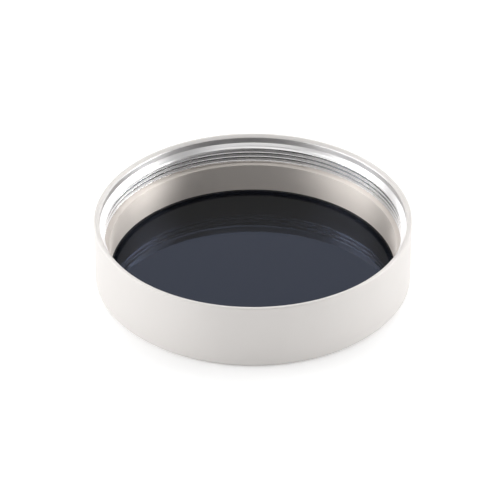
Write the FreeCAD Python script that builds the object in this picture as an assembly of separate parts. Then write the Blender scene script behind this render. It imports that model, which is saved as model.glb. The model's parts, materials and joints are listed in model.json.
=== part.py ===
# Round screw-in neutral density filter for a small camera lens: a turned aluminium ring with an
# internal thread, and a dark glass disc bonded onto a thin lip at the ring's front end.
#
# It lies on its front face with the threaded mouth up. The origin is the centre of the front face,
# +Z is the ring's axis and points out of the mouth, and sizes are in millimetres.
import FreeCAD, Part
import math
import os

# internal thread, which sets the size of the ring
thread_diameter = 30.5  # major diameter
thread_pitch = 0.5
thread_length = 1.75
lead_in_angle = 45.0  # slope of the cone that leads into the thread, in degrees from the axis

# mouth and rim, outwards from the thread
mouth_clearance = 0.2  # radial step from the thread's major diameter to the plain counterbore
mouth_depth = 0.87
mouth_edge_break = 0.27  # chamfer between the rim and the counterbore
rim_wall = 0.55  # from the counterbore to the outside
rim_edge_break = 0.1  # chamfer of the outer corner at the rim

# height and front end
ring_height = 7.0
front_edge_break = 0.3  # chamfer of the outer corner at the front face

# bore behind the thread, and the lip that the glass lies on
shoulder_width = 0.48  # radial step from the thread's crests in to the bore
lip_width = 0.5  # radial step from the bore in to the clear opening
lip_thickness = 0.25
lip_edge_break = 0.1

# glass disc and the black bond that holds it
glass_thickness = 0.5
glass_bevel = 0.08
glass_clearance = 0.1  # radial gap between the glass and the bore, which the bond fills
bond_thickness = 0.05  # bed between the lip and the glass

# The crests of a 60 degree internal thread stand five eighths of the sharp thread's height inside
# the major diameter. The thread's wall is a plain cylinder through its crests.
sharp_thread_height = thread_pitch * math.sqrt(3) / 2
crest_radius = thread_diameter / 2 - sharp_thread_height * 5 / 8

# other radii, each from its neighbour
mouth_radius = thread_diameter / 2 + mouth_clearance
ring_radius = mouth_radius + rim_wall
bore_radius = crest_radius - shoulder_width
lip_radius = bore_radius - lip_width
glass_radius = bore_radius - glass_clearance

# heights above the front face
mouth_floor = ring_height - mouth_depth
thread_top = mouth_floor - (mouth_radius - crest_radius) / math.tan(math.radians(lead_in_angle))
thread_shoulder = thread_top - thread_length
glass_bottom = lip_thickness + bond_thickness
glass_top = glass_bottom + glass_thickness


def turned(section):
    """Revolves a closed section, given as (radius, height) points, about the ring's axis."""
    corners = [FreeCAD.Vector(radius, 0, height) for radius, height in section]
    face = Part.Face(Part.makePolygon(corners + corners[:1]))
    return face.revolve(FreeCAD.Vector(0, 0, 0), FreeCAD.Vector(0, 0, 1), 360)


def filter_ring():
    outside = [
        (lip_radius + lip_edge_break, 0),
        (ring_radius - front_edge_break, 0),
        (ring_radius, front_edge_break),
        (ring_radius, ring_height - rim_edge_break),
        (ring_radius - rim_edge_break, ring_height),
    ]
    mouth = [
        (mouth_radius + mouth_edge_break, ring_height),
        (mouth_radius, ring_height - mouth_edge_break),
        (mouth_radius, mouth_floor),
        (crest_radius, thread_top),
        (crest_radius, thread_shoulder),
    ]
    glass_seat = [
        (bore_radius, thread_shoulder),
        (bore_radius, lip_thickness),
        (lip_radius, lip_thickness),
        (lip_radius, lip_edge_break),
    ]
    return turned(outside + mouth + glass_seat)


def nd_glass():
    return turned([
        (0, glass_bottom),
        (glass_radius - glass_bevel, glass_bottom),
        (glass_radius, glass_bottom + glass_bevel),
        (glass_radius, glass_top - glass_bevel),
        (glass_radius - glass_bevel, glass_top),
        (0, glass_top),
    ])


def glass_bond():
    # a bed on the lip and a thin wall up the edge of the glass, both as the glass leaves them
    return turned([
        (lip_radius, lip_thickness),
        (bore_radius, lip_thickness),
        (bore_radius, glass_top - glass_bevel),
        (glass_radius, glass_top - glass_bevel),
        (glass_radius, glass_bottom + glass_bevel),
        (glass_radius - glass_bevel, glass_bottom),
        (lip_radius, glass_bottom),
    ])


pieces = {
    "filter_ring": filter_ring(),
    "nd_glass": nd_glass(),
    "glass_bond": glass_bond(),
}

os.makedirs("parts", exist_ok=True)
for name, shape in pieces.items():
    shape.exportStep(os.path.join("parts", name + ".step"))
    print(name, "valid", shape.isValid(), "volume", round(shape.Volume, 3), "mm3")
print("thread crest radius", round(crest_radius, 4), "from", round(thread_shoulder, 4), "to", round(thread_top, 4))
print("glass top", round(glass_top, 4))
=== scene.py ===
import json
import math
import bmesh
import bpy
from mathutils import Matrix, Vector


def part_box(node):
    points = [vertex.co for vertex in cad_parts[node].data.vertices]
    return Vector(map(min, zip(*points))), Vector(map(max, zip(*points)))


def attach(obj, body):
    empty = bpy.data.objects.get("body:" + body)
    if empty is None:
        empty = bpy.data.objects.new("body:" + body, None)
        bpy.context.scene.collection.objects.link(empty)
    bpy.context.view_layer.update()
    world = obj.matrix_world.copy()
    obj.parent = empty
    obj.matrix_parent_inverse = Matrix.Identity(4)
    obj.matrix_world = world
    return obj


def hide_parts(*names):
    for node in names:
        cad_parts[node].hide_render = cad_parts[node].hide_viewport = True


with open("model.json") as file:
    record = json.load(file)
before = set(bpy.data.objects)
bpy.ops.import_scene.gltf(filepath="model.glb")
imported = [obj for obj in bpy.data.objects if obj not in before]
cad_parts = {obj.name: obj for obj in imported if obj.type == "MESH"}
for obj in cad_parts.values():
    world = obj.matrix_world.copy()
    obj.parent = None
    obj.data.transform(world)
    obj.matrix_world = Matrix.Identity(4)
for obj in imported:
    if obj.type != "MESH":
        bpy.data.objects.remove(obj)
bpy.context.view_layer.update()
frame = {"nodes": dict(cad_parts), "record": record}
mm = 0.001
print("frame loaded:", sorted(frame["nodes"]))

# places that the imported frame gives, in metres
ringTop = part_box("filter_ring")[1]
glassLow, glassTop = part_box("nd_glass")
bondLow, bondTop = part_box("glass_bond")
lensThread = next(m for m in frame["record"]["mounts"] if m["name"] == "lens_thread")


# helpers for the turned pieces: a section is drawn as a wire and spun about the axis

turned = {
    "cornerSegments": 3,  # edges in a rounded corner of a section
    "weld": 0.0005 * mm,  # points closer than this become one
    "sharpAngle": 30,  # degrees, steeper edges stay sharp in the shading
    "faceWeight": 100,  # keeps wide faces flat beside their roundings
}


def drawWire(bm, corners, rounding, closed=True):
    verts = [bm.verts.new((radius, 0, height)) for radius, height in corners]
    ends = verts[1:] + verts[:1] if closed else verts[1:]
    for a, b in zip(verts, ends):
        bm.edges.new((a, b))
    bends = [v for v in verts if len(v.link_edges) == 2]
    bmesh.ops.bevel(bm, geom=bends, offset=rounding, offset_type="OFFSET", affect="VERTICES",
                    segments=turned["cornerSegments"], profile=0.5, material=-1, clamp_overlap=True)


def lathe(bm, steps):
    bmesh.ops.spin(bm, geom=bm.verts[:] + bm.edges[:], cent=(0, 0, 0), axis=(0, 0, 1),
                   angle=math.tau, steps=steps, use_merge=True)
    bmesh.ops.remove_doubles(bm, verts=bm.verts[:], dist=turned["weld"])
    bmesh.ops.recalc_face_normals(bm, faces=bm.faces[:])


def addPiece(name, bm, materials, node):
    for face in bm.faces:
        face.smooth = True
    for edge in bm.edges:
        edge.smooth = edge.calc_face_angle(0) < math.radians(turned["sharpAngle"])
    mesh = bpy.data.meshes.new(name)
    bm.to_mesh(mesh)
    bm.free()
    for material in materials:
        mesh.materials.append(material)
    piece = bpy.data.objects.new(name, mesh)
    bpy.context.scene.collection.objects.link(piece)
    evenShade = piece.modifiers.new("evenShade", "WEIGHTED_NORMAL")
    evenShade.mode = "FACE_AREA"
    evenShade.weight = turned["faceWeight"]
    evenShade.keep_sharp = True
    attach(piece, "root")
    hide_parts(node)
    print(name, "made with", len(mesh.polygons), "faces")


# material helpers

def newMaterial(name):
    material = bpy.data.materials.new(name)
    material.use_nodes = True
    tree = material.node_tree
    return material, tree, tree.nodes["Principled BSDF"]


def addNode(tree, kind, links=None, **settings):
    made = tree.nodes.new(kind)
    for key, value in settings.items():
        if key in made.inputs:
            made.inputs[key].default_value = value
        else:
            setattr(made, key, value)
    for socket, source in (links or {}).items():
        tree.links.new(source, made.inputs[socket])
    return made


def addNoise(tree, vector, scale, detail):
    return addNode(tree, "ShaderNodeTexNoise", {"Vector": vector}, Scale=scale, Detail=detail)


def linkRoughness(tree, shader, noise, span, roughness):
    # the stretch of the noise that span gives runs through the range of roughness
    rough = addNode(tree, "ShaderNodeMapRange", {"Value": noise.outputs["Fac"]})
    for socket, value in zip(("From Min", "From Max", "To Min", "To Max"), span + roughness):
        rough.inputs[socket].default_value = value
    tree.links.new(rough.outputs["Result"], shader.inputs["Roughness"])


def linkBump(tree, shader, noise, height, strength=1.0):
    bump = addNode(tree, "ShaderNodeBump", {"Height": noise.outputs["Fac"]}, Strength=strength,
                   Distance=height)
    tree.links.new(bump.outputs["Normal"], shader.inputs["Normal"])


# satin aluminium of the outside: bead blasted and clear anodised

satin = {
    "color": (0.665, 0.642, 0.623, 1),
    "metal": 0.3,  # the anodised skin scatters the rest
    "roughness": (0.50, 0.60),
    "grainScale": 9000,  # grains per metre
    "grainDetail": 2.0,
    "grainHeight": 0.004 * mm,
    "cloudScale": 260,  # slow changes of the finish
    "cloudDetail": 3.0,
    "cloudSpan": (0.3, 0.7),
}


def makeSatinAluminium():
    material, tree, shader = newMaterial("satinAluminium")
    place = addNode(tree, "ShaderNodeTexCoord").outputs["Object"]
    grain = addNoise(tree, place, satin["grainScale"], satin["grainDetail"])
    clouds = addNoise(tree, place, satin["cloudScale"], satin["cloudDetail"])
    shader.inputs["Base Color"].default_value = satin["color"]
    shader.inputs["Metallic"].default_value = satin["metal"]
    linkRoughness(tree, shader, clouds, satin["cloudSpan"], satin["roughness"])
    linkBump(tree, shader, grain, satin["grainHeight"])
    return material


# turned aluminium inside: fine lathe marks that run round the axis, satin in the bore and
# bright where the mouth and the thread were cut

toolMarks = {"scale": 14000, "detail": 3.0, "span": (0.3, 0.7)}  # marks per metre
boreFinish = {
    "color": (0.88, 0.83, 0.785, 1),
    "roughness": (0.60, 0.68),
    "stretch": 0.9,  # how far the marks spread a highlight across themselves
    "markHeight": 0.0025 * mm,
    "climb": 0.25 * mm,  # how far the tool moved along in one turn
}
mouthFinish = {
    "color": (0.93, 0.92, 0.92, 1),
    "roughness": (0.35, 0.42),
    "stretch": 0.68,
    "markHeight": 0.0004 * mm,
    "climb": 0.25 * mm,
}
flankFinish = {
    "color": (0.93, 0.92, 0.92, 1),
    "roughness": (0.30, 0.36),
    "stretch": 0.5,
    "markHeight": 0.0002 * mm,
    "climb": 0.5 * mm,  # the marks follow the thread
}
crestFinish = {
    "color": (0.95, 0.94, 0.94, 1),
    "roughness": (0.20, 0.25),
    "stretch": 0.4,
    "markHeight": 0.0001 * mm,
    "climb": 0.5 * mm,
}


def makeTurnedAluminium(name, finish):
    material, tree, shader = newMaterial(name)
    place = addNode(tree, "ShaderNodeTexCoord").outputs["Object"]
    split = addNode(tree, "ShaderNodeSeparateXYZ", {"Vector": place})
    flat = addNode(tree, "ShaderNodeCombineXYZ", {"X": split.outputs["X"], "Y": split.outputs["Y"]})
    radius = addNode(tree, "ShaderNodeVectorMath", {"Vector": flat.outputs["Vector"]},
                     operation="LENGTH")
    angle = addNode(tree, "ShaderNodeMath", {0: split.outputs["Y"], 1: split.outputs["X"]},
                    operation="ARCTAN2")
    # the noise runs round a loop once for each turn of the tool, so the marks climb without a seam
    turns = addNode(tree, "ShaderNodeMath", {0: split.outputs["Z"]}, operation="MULTIPLY")
    turns.inputs[1].default_value = math.tau / finish["climb"]
    phase = addNode(tree, "ShaderNodeMath", {0: turns.outputs[0], 1: angle.outputs[0]},
                    operation="SUBTRACT")
    across = addNode(tree, "ShaderNodeMath", {0: phase.outputs[0]}, operation="COSINE")
    onward = addNode(tree, "ShaderNodeMath", {0: phase.outputs[0]}, operation="SINE")
    loop = addNode(tree, "ShaderNodeCombineXYZ", {"Y": across.outputs[0], "Z": onward.outputs[0]})
    sized = addNode(tree, "ShaderNodeVectorMath", {0: loop.outputs["Vector"]}, operation="SCALE")
    sized.inputs["Scale"].default_value = finish["climb"] / math.tau
    depth = addNode(tree, "ShaderNodeCombineXYZ", {"X": radius.outputs["Value"]})
    section = addNode(tree, "ShaderNodeVectorMath",
                      {0: sized.outputs["Vector"], 1: depth.outputs["Vector"]}, operation="ADD")
    marks = addNoise(tree, section.outputs["Vector"], toolMarks["scale"], toolMarks["detail"])
    # the highlight stretches across the marks, which run round the axis
    around = addNode(tree, "ShaderNodeVectorMath", {1: flat.outputs["Vector"]},
                     operation="CROSS_PRODUCT")
    around.inputs[0].default_value = (0, 0, 1)
    along = addNode(tree, "ShaderNodeVectorTransform", {"Vector": around.outputs["Vector"]},
                    vector_type="VECTOR", convert_from="OBJECT", convert_to="WORLD")
    shader.inputs["Base Color"].default_value = finish["color"]
    shader.inputs["Metallic"].default_value = 1
    shader.inputs["Anisotropic"].default_value = finish["stretch"]
    shader.inputs["Anisotropic Rotation"].default_value = 0.25  # a quarter turn
    tree.links.new(along.outputs["Vector"], shader.inputs["Tangent"])
    linkRoughness(tree, shader, marks, toolMarks["span"], finish["roughness"])
    linkBump(tree, shader, marks, finish["markHeight"])
    return material


# ring: the turned section of the frame's ring, with the right-hand thread cut into it

ring = {
    "radius": ringTop.x,
    "height": ringTop.z,
    "rimBreak": 0.1 * mm,
    "frontBreak": 0.3 * mm,
    "mouthClearance": 0.2 * mm,
    "mouthDepth": 0.87 * mm,
    "mouthBreak": 0.27 * mm,
    "crest": lensThread["dims"]["r_mm"] * mm,
    "threadLength": lensThread["dims"]["length_mm"] * mm,
    "threadMiddle": lensThread["pos_m"][2],
    "threadPitch": 0.5 * mm,
    "threadStart": 4.99 * mm,  # height of a crest where its turn starts, on the +X side
    "rootWidth": 0.02 * mm,  # flat at the bottom of a groove
    "threadRounding": 0.008 * mm,
    "flankCuts": 3,
    "bore": bondTop.x,
    "lipWidth": 0.5 * mm,
    "lipThickness": bondLow.z,
    "lipBreak": 0.1 * mm,
    "rounding": 0.03 * mm,
    "weld": 0.001 * mm,  # joins the thread to the rest of the ring
    "steps": 384,
}
# a 60 degree thread is five eighths of its sharp height deep
ring["major"] = ring["crest"] + ring["threadPitch"] * math.sqrt(3) / 2 * 5 / 8
ring["mouth"] = ring["major"] + ring["mouthClearance"]
ring["mouthFloor"] = ring["height"] - ring["mouthDepth"]
ring["threadTop"] = ring["threadMiddle"] + ring["threadLength"] / 2
ring["shoulder"] = ring["threadMiddle"] - ring["threadLength"] / 2
ring["runOut"] = ring["threadPitch"] / 2  # height in the cone over which the grooves end
ringFaces = {"outside": 0, "bore": 1, "mouth": 2, "flank": 3, "crest": 4}  # material of each kind


def ringCorners():
    # from the inner end of the thread down the bore, round the outside and back to the cone
    lip = ring["bore"] - ring["lipWidth"]
    return [
        (ring["crest"], ring["shoulder"]),
        (ring["bore"], ring["shoulder"]),
        (ring["bore"], ring["lipThickness"]),
        (lip, ring["lipThickness"]),
        (lip, ring["lipBreak"]),
        (lip + ring["lipBreak"], 0),
        (ring["radius"] - ring["frontBreak"], 0),
        (ring["radius"], ring["frontBreak"]),
        (ring["radius"], ring["height"] - ring["rimBreak"]),
        (ring["radius"] - ring["rimBreak"], ring["height"]),
        (ring["mouth"] + ring["mouthBreak"], ring["height"]),
        (ring["mouth"], ring["height"] - ring["mouthBreak"]),
        (ring["mouth"], ring["mouthFloor"]),
    ]


def threadCorners():
    # 60 degree flanks between narrow roots and flat crests, from one turn below the thread
    pitch = ring["threadPitch"]
    halfRoot = ring["rootWidth"] / 2
    flank = (ring["major"] - ring["crest"]) / math.sqrt(3)
    lowest = math.floor((ring["shoulder"] - pitch - ring["threadStart"]) / pitch)
    highest = math.ceil((ring["mouthFloor"] - ring["threadStart"]) / pitch)
    corners = []
    for turn in range(lowest, highest + 1):
        middle = ring["threadStart"] + turn * pitch
        corners += [
            (ring["crest"], middle - pitch / 2 + halfRoot + flank),
            (ring["crest"], middle + pitch / 2 - halfRoot - flank),
            (ring["major"], middle + pitch / 2 - halfRoot),
            (ring["major"], middle + pitch / 2 + halfRoot),
        ]
    return corners


def threadRadius(height, angle):
    # the same outline at any height and angle
    pitch = ring["threadPitch"]
    turn = (height - ring["threadStart"]) / pitch - angle / math.tau
    fromRoot = abs(turn - math.floor(turn) - 0.5) * pitch
    flank = ring["major"] - (fromRoot - ring["rootWidth"] / 2) * math.sqrt(3)
    return min(ring["major"], max(ring["crest"], flank))


def makeThread():
    # one turn of the whole row of grooves climbs by a pitch, so its two ends meet
    bm = bmesh.new()
    drawWire(bm, threadCorners(), ring["threadRounding"], closed=False)
    halfDepth = (ring["major"] - ring["crest"]) / 2
    flanks = [e for e in bm.edges if abs(e.verts[0].co.x - e.verts[1].co.x) > halfDepth]
    bmesh.ops.subdivide_edges(bm, edges=flanks, cuts=ring["flankCuts"])
    bmesh.ops.spin(bm, geom=bm.verts[:] + bm.edges[:], cent=(0, 0, 0), axis=(0, 0, 1), angle=math.tau,
                   dvec=(0, 0, ring["threadPitch"] / ring["steps"]), steps=ring["steps"])
    slope = (ring["mouth"] - ring["crest"]) / (ring["mouthFloor"] - ring["threadTop"])
    snap = ring["threadRounding"] / 2
    for vert in bm.verts:
        radius = math.hypot(vert.co.x, vert.co.y)
        height = vert.co.z
        if height < ring["shoulder"] + snap:
            height = ring["shoulder"]
        if height > ring["mouthFloor"] - snap:
            height = ring["mouthFloor"]
        cut = radius if height == vert.co.z else threadRadius(height, math.atan2(vert.co.y, vert.co.x))
        if height > ring["threadTop"]:  # the grooves run out in the cone
            cone = ring["crest"] + slope * (height - ring["threadTop"])
            left = max(0, 1 - (height - ring["threadTop"]) / ring["runOut"])
            cut = cone + max(0, cut - cone) * left
        vert.co = (vert.co.x * cut / radius, vert.co.y * cut / radius, height)
    mesh = bpy.data.meshes.new("thread")
    bm.to_mesh(mesh)
    bm.free()
    return mesh


def makeRing(materials):
    bm = bmesh.new()
    drawWire(bm, ringCorners(), ring["rounding"], closed=False)
    lathe(bm, ring["steps"])
    for vert in bm.verts:  # the ledge's outer edge follows the grooves
        radius = math.hypot(vert.co.x, vert.co.y)
        onLedge = abs(vert.co.z - ring["shoulder"]) < ring["weld"]
        if onLedge and radius > ring["crest"] - ring["threadRounding"]:
            cut = threadRadius(ring["shoulder"], math.atan2(vert.co.y, vert.co.x))
            vert.co.x *= cut / radius
            vert.co.y *= cut / radius
    thread = makeThread()
    bm.from_mesh(thread)
    bpy.data.meshes.remove(thread)
    bmesh.ops.remove_doubles(bm, verts=bm.verts[:], dist=ring["weld"])
    bmesh.ops.dissolve_degenerate(bm, edges=bm.edges[:], dist=turned["weld"])
    bmesh.ops.recalc_face_normals(bm, faces=bm.faces[:])
    openEdges = sum(1 for e in bm.edges if len(e.link_faces) != 2)
    print("ring edges without two faces:", openEdges)
    turnedEdge = ring["mouth"] + ring["rounding"]
    for face in bm.faces:
        middle = face.calc_center_median()
        radius = math.hypot(middle.x, middle.y)
        kind = "flank"
        if radius >= turnedEdge or middle.z <= ring["lipThickness"]:
            kind = "outside"
        elif middle.z < ring["shoulder"] + ring["weld"]:
            kind = "bore"
        elif middle.z > ring["threadTop"]:
            kind = "mouth"
        elif radius < ring["crest"] + ring["threadRounding"]:
            kind = "crest"
        face.material_index = ringFaces[kind]
    addPiece("filterRing", bm, materials, "filter_ring")


# glass: a polished dark disc with ground bevels

glass = {
    "radius": glassTop.x,
    "bottom": glassLow.z,
    "top": glassTop.z,
    "bevel": 0.08 * mm,
    "rounding": 0.015 * mm,
    "steps": 256,
    "tint": (0.066, 0.064, 0.060, 1),
    "ior": 1.5,
    "coatIor": 1.34,
    "coatThickness": 148,  # nanometres, a thin film that leaves a weak blue reflection
    "roughness": (0.0, 0.03),  # faint haze left by the polish
    "hazeScale": 350,
    "hazeDetail": 4.0,
    "hazeSpan": (0.4, 0.7),
}


def makeDarkGlass():
    material, tree, shader = newMaterial("darkGlass")
    place = addNode(tree, "ShaderNodeTexCoord").outputs["Object"]
    haze = addNoise(tree, place, glass["hazeScale"], glass["hazeDetail"])
    shader.inputs["Base Color"].default_value = glass["tint"]
    shader.inputs["Transmission Weight"].default_value = 1
    shader.inputs["IOR"].default_value = glass["ior"]
    shader.inputs["Thin Film IOR"].default_value = glass["coatIor"]
    shader.inputs["Thin Film Thickness"].default_value = glass["coatThickness"]
    linkRoughness(tree, shader, haze, glass["hazeSpan"], glass["roughness"])
    return material


def makeGlass(material):
    rim = glass["radius"] - glass["bevel"]
    corners = [
        (0, glass["bottom"]),
        (rim, glass["bottom"]),
        (glass["radius"], glass["bottom"] + glass["bevel"]),
        (glass["radius"], glass["top"] - glass["bevel"]),
        (rim, glass["top"]),
        (0, glass["top"]),
    ]
    bm = bmesh.new()
    drawWire(bm, corners, glass["rounding"], closed=False)
    lathe(bm, glass["steps"])
    addPiece("ndGlass", bm, [material], "nd_glass")


# bond: the black bed on the lip and the thin wall up the edge of the glass

bond = {
    "outer": bondTop.x,
    "bottom": bondLow.z,
    "top": bondTop.z,
    "creep": 0.06 * mm,  # how far the bond climbs the bore above the glass
    "rounding": 0.01 * mm,
    "steps": 256,
    "color": (0.012, 0.011, 0.011, 1),
    "roughness": (0.45, 0.65),
    "skinScale": 2500,
    "skinDetail": 2.0,
    "skinSpan": (0, 1),
    "skinHeight": 0.01 * mm,
    "skinStrength": 0.6,
}


def makeBlackBond():
    material, tree, shader = newMaterial("blackBond")
    place = addNode(tree, "ShaderNodeTexCoord").outputs["Object"]
    skin = addNoise(tree, place, bond["skinScale"], bond["skinDetail"])
    shader.inputs["Base Color"].default_value = bond["color"]
    linkRoughness(tree, shader, skin, bond["skinSpan"], bond["roughness"])
    linkBump(tree, shader, skin, bond["skinHeight"], bond["skinStrength"])
    return material


def makeBond(material):
    lip = bond["outer"] - ring["lipWidth"]
    corners = [
        (lip, bond["bottom"]),
        (bond["outer"], bond["bottom"]),
        (bond["outer"], glass["top"] + bond["creep"]),
        (glass["radius"], bond["top"]),
        (glass["radius"], glass["bottom"] + glass["bevel"]),
        (glass["radius"] - glass["bevel"], glass["bottom"]),
        (lip, glass["bottom"]),
    ]
    bm = bmesh.new()
    drawWire(bm, corners, bond["rounding"])
    lathe(bm, bond["steps"])
    addPiece("glassBond", bm, [material], "glass_bond")


makeRing([  # in the order of ringFaces
    makeSatinAluminium(),
    makeTurnedAluminium("boreAluminium", boreFinish),
    makeTurnedAluminium("mouthAluminium", mouthFinish),
    makeTurnedAluminium("flankAluminium", flankFinish),
    makeTurnedAluminium("crestAluminium", crestFinish),
])
makeGlass(makeDarkGlass())
makeBond(makeBlackBond())


# floor: a plain white sheet

floor = {
    "halfSide": 1.5,
    "color": (0.88, 0.88, 0.88, 1),
    "roughness": 0.9,
    "specular": 0.2,
    "lift": 0.22,  # what the camera, metal and glass see on top of the lit sheet
}


def makeFloor():
    material, tree, shader = newMaterial("whiteSheet")
    shader.inputs["Base Color"].default_value = floor["color"]
    shader.inputs["Roughness"].default_value = floor["roughness"]
    shader.inputs["Specular IOR Level"].default_value = floor["specular"]
    rays = addNode(tree, "ShaderNodeLightPath").outputs
    seen = addNode(tree, "ShaderNodeMath", {0: rays["Is Camera Ray"], 1: rays["Is Glossy Ray"]},
                   operation="MAXIMUM")
    through = addNode(tree, "ShaderNodeMath", {0: seen.outputs[0], 1: rays["Is Transmission Ray"]},
                      operation="MAXIMUM")
    strength = addNode(tree, "ShaderNodeMath", {0: through.outputs[0]}, operation="MULTIPLY")
    strength.inputs[1].default_value = floor["lift"]
    shader.inputs["Emission Color"].default_value = (1, 1, 1, 1)
    tree.links.new(strength.outputs[0], shader.inputs["Emission Strength"])
    bm = bmesh.new()
    bmesh.ops.create_grid(bm, x_segments=1, y_segments=1, size=floor["halfSide"])
    mesh = bpy.data.meshes.new("floor")
    bm.to_mesh(mesh)
    bm.free()
    mesh.materials.append(material)
    sheet = bpy.data.objects.new("floor", mesh)
    bpy.context.scene.collection.objects.link(sheet)


# light: a white room, softboxes at both sides, white panels behind and a soft ceiling

light = {
    "room": 0.20,
    "distance": 0.35,  # metres from the origin to every panel
    "panels": {  # degrees round from +X and up from the floor, metres, and brightness
        "leftStrip": {"azimuth": 180, "elevation": 35.5, "wide": 0.22, "high": 0.03, "radiance": 9.0},
        "leftSoftbox": {"azimuth": 190, "elevation": 18, "wide": 0.24, "high": 0.125, "radiance": 1.9},
        "leftLow": {"azimuth": 214, "elevation": 8, "wide": 0.19, "high": 0.125, "radiance": 4.9},
        "leftFloor": {"azimuth": 174, "elevation": 8, "wide": 0.19, "high": 0.125, "radiance": 5.2},
        "leftBack": {"azimuth": 128, "elevation": 14, "wide": 0.20, "high": 0.10, "radiance": 2.0},
        "leftHigh": {"azimuth": 155, "elevation": 50, "wide": 0.20, "high": 0.10, "radiance": 0.4},
        "rightStrip": {"azimuth": 20, "elevation": 35.5, "wide": 0.22, "high": 0.03, "radiance": 9.0},
        "rightSoftbox": {"azimuth": 20, "elevation": 18, "wide": 0.30, "high": 0.125, "radiance": 1.2},
        "rightLow": {"azimuth": -7, "elevation": 8, "wide": 0.19, "high": 0.125, "radiance": 9.5},
        "rightBack": {"azimuth": 52, "elevation": 14, "wide": 0.20, "high": 0.10, "radiance": 2.0},
        "rightHigh": {"azimuth": 28, "elevation": 50, "wide": 0.20, "high": 0.10, "radiance": 0.4},
        "backPanel": {"azimuth": 90, "elevation": 36, "wide": 0.33, "high": 0.125, "radiance": 1.15},
        "backTop": {"azimuth": 90, "elevation": 60, "wide": 0.33, "high": 0.16, "radiance": 2.2},
        "frontTop": {"azimuth": 270, "elevation": 58, "wide": 0.33, "high": 0.14, "radiance": 0.65},
        "ceiling": {"azimuth": 270, "elevation": 89.9, "wide": 0.30, "high": 0.30, "radiance": 0.95},
    },
}


def makeLight():
    world = bpy.data.worlds.new("whiteRoom")
    world.use_nodes = True
    world.node_tree.nodes["Background"].inputs["Color"].default_value = (1, 1, 1, 1)
    world.node_tree.nodes["Background"].inputs["Strength"].default_value = light["room"]
    bpy.context.scene.world = world
    for name, panel in light["panels"].items():
        lamp = bpy.data.lights.new(name, "AREA")
        lamp.shape = "RECTANGLE"
        lamp.size = panel["wide"]
        lamp.size_y = panel["high"]
        lamp.energy = panel["radiance"] * math.pi * panel["wide"] * panel["high"]
        lampObject = bpy.data.objects.new(name, lamp)
        turn, rise = math.radians(panel["azimuth"]), math.radians(panel["elevation"])
        away = Vector((math.cos(turn) * math.cos(rise), math.sin(turn) * math.cos(rise), math.sin(rise)))
        lampObject.location = away * light["distance"]
        lampObject.rotation_mode = "QUATERNION"
        lampObject.rotation_quaternion = away.to_track_quat("Z", "Y")
        bpy.context.scene.collection.objects.link(lampObject)


# camera at the photograph's viewing angle

view = {
    "distance": 276.6 * mm,
    "elevation": 34.686,
    "aim": (-0.306 * mm, 0, 2.928 * mm),
    "sensor": 36,
    "focal": 195.26,  # on that sensor width
}


def makeCamera():
    camera = bpy.data.cameras.new("camera")
    camera.sensor_width = view["sensor"]
    camera.lens = view["focal"]
    camera.clip_start = view["distance"] / 100
    cameraObject = bpy.data.objects.new("camera", camera)
    rise = math.radians(view["elevation"])
    cameraObject.location = Vector((0, -math.cos(rise), math.sin(rise))) * view["distance"]
    cameraObject.rotation_mode = "QUATERNION"
    sight = Vector(view["aim"]) - cameraObject.location
    cameraObject.rotation_quaternion = sight.to_track_quat("-Z", "Y")
    bpy.context.scene.collection.objects.link(cameraObject)
    bpy.context.scene.camera = cameraObject


makeFloor()
makeLight()
makeCamera()
bpy.context.scene.view_settings.view_transform = "Standard"
print("floor, light and camera made")
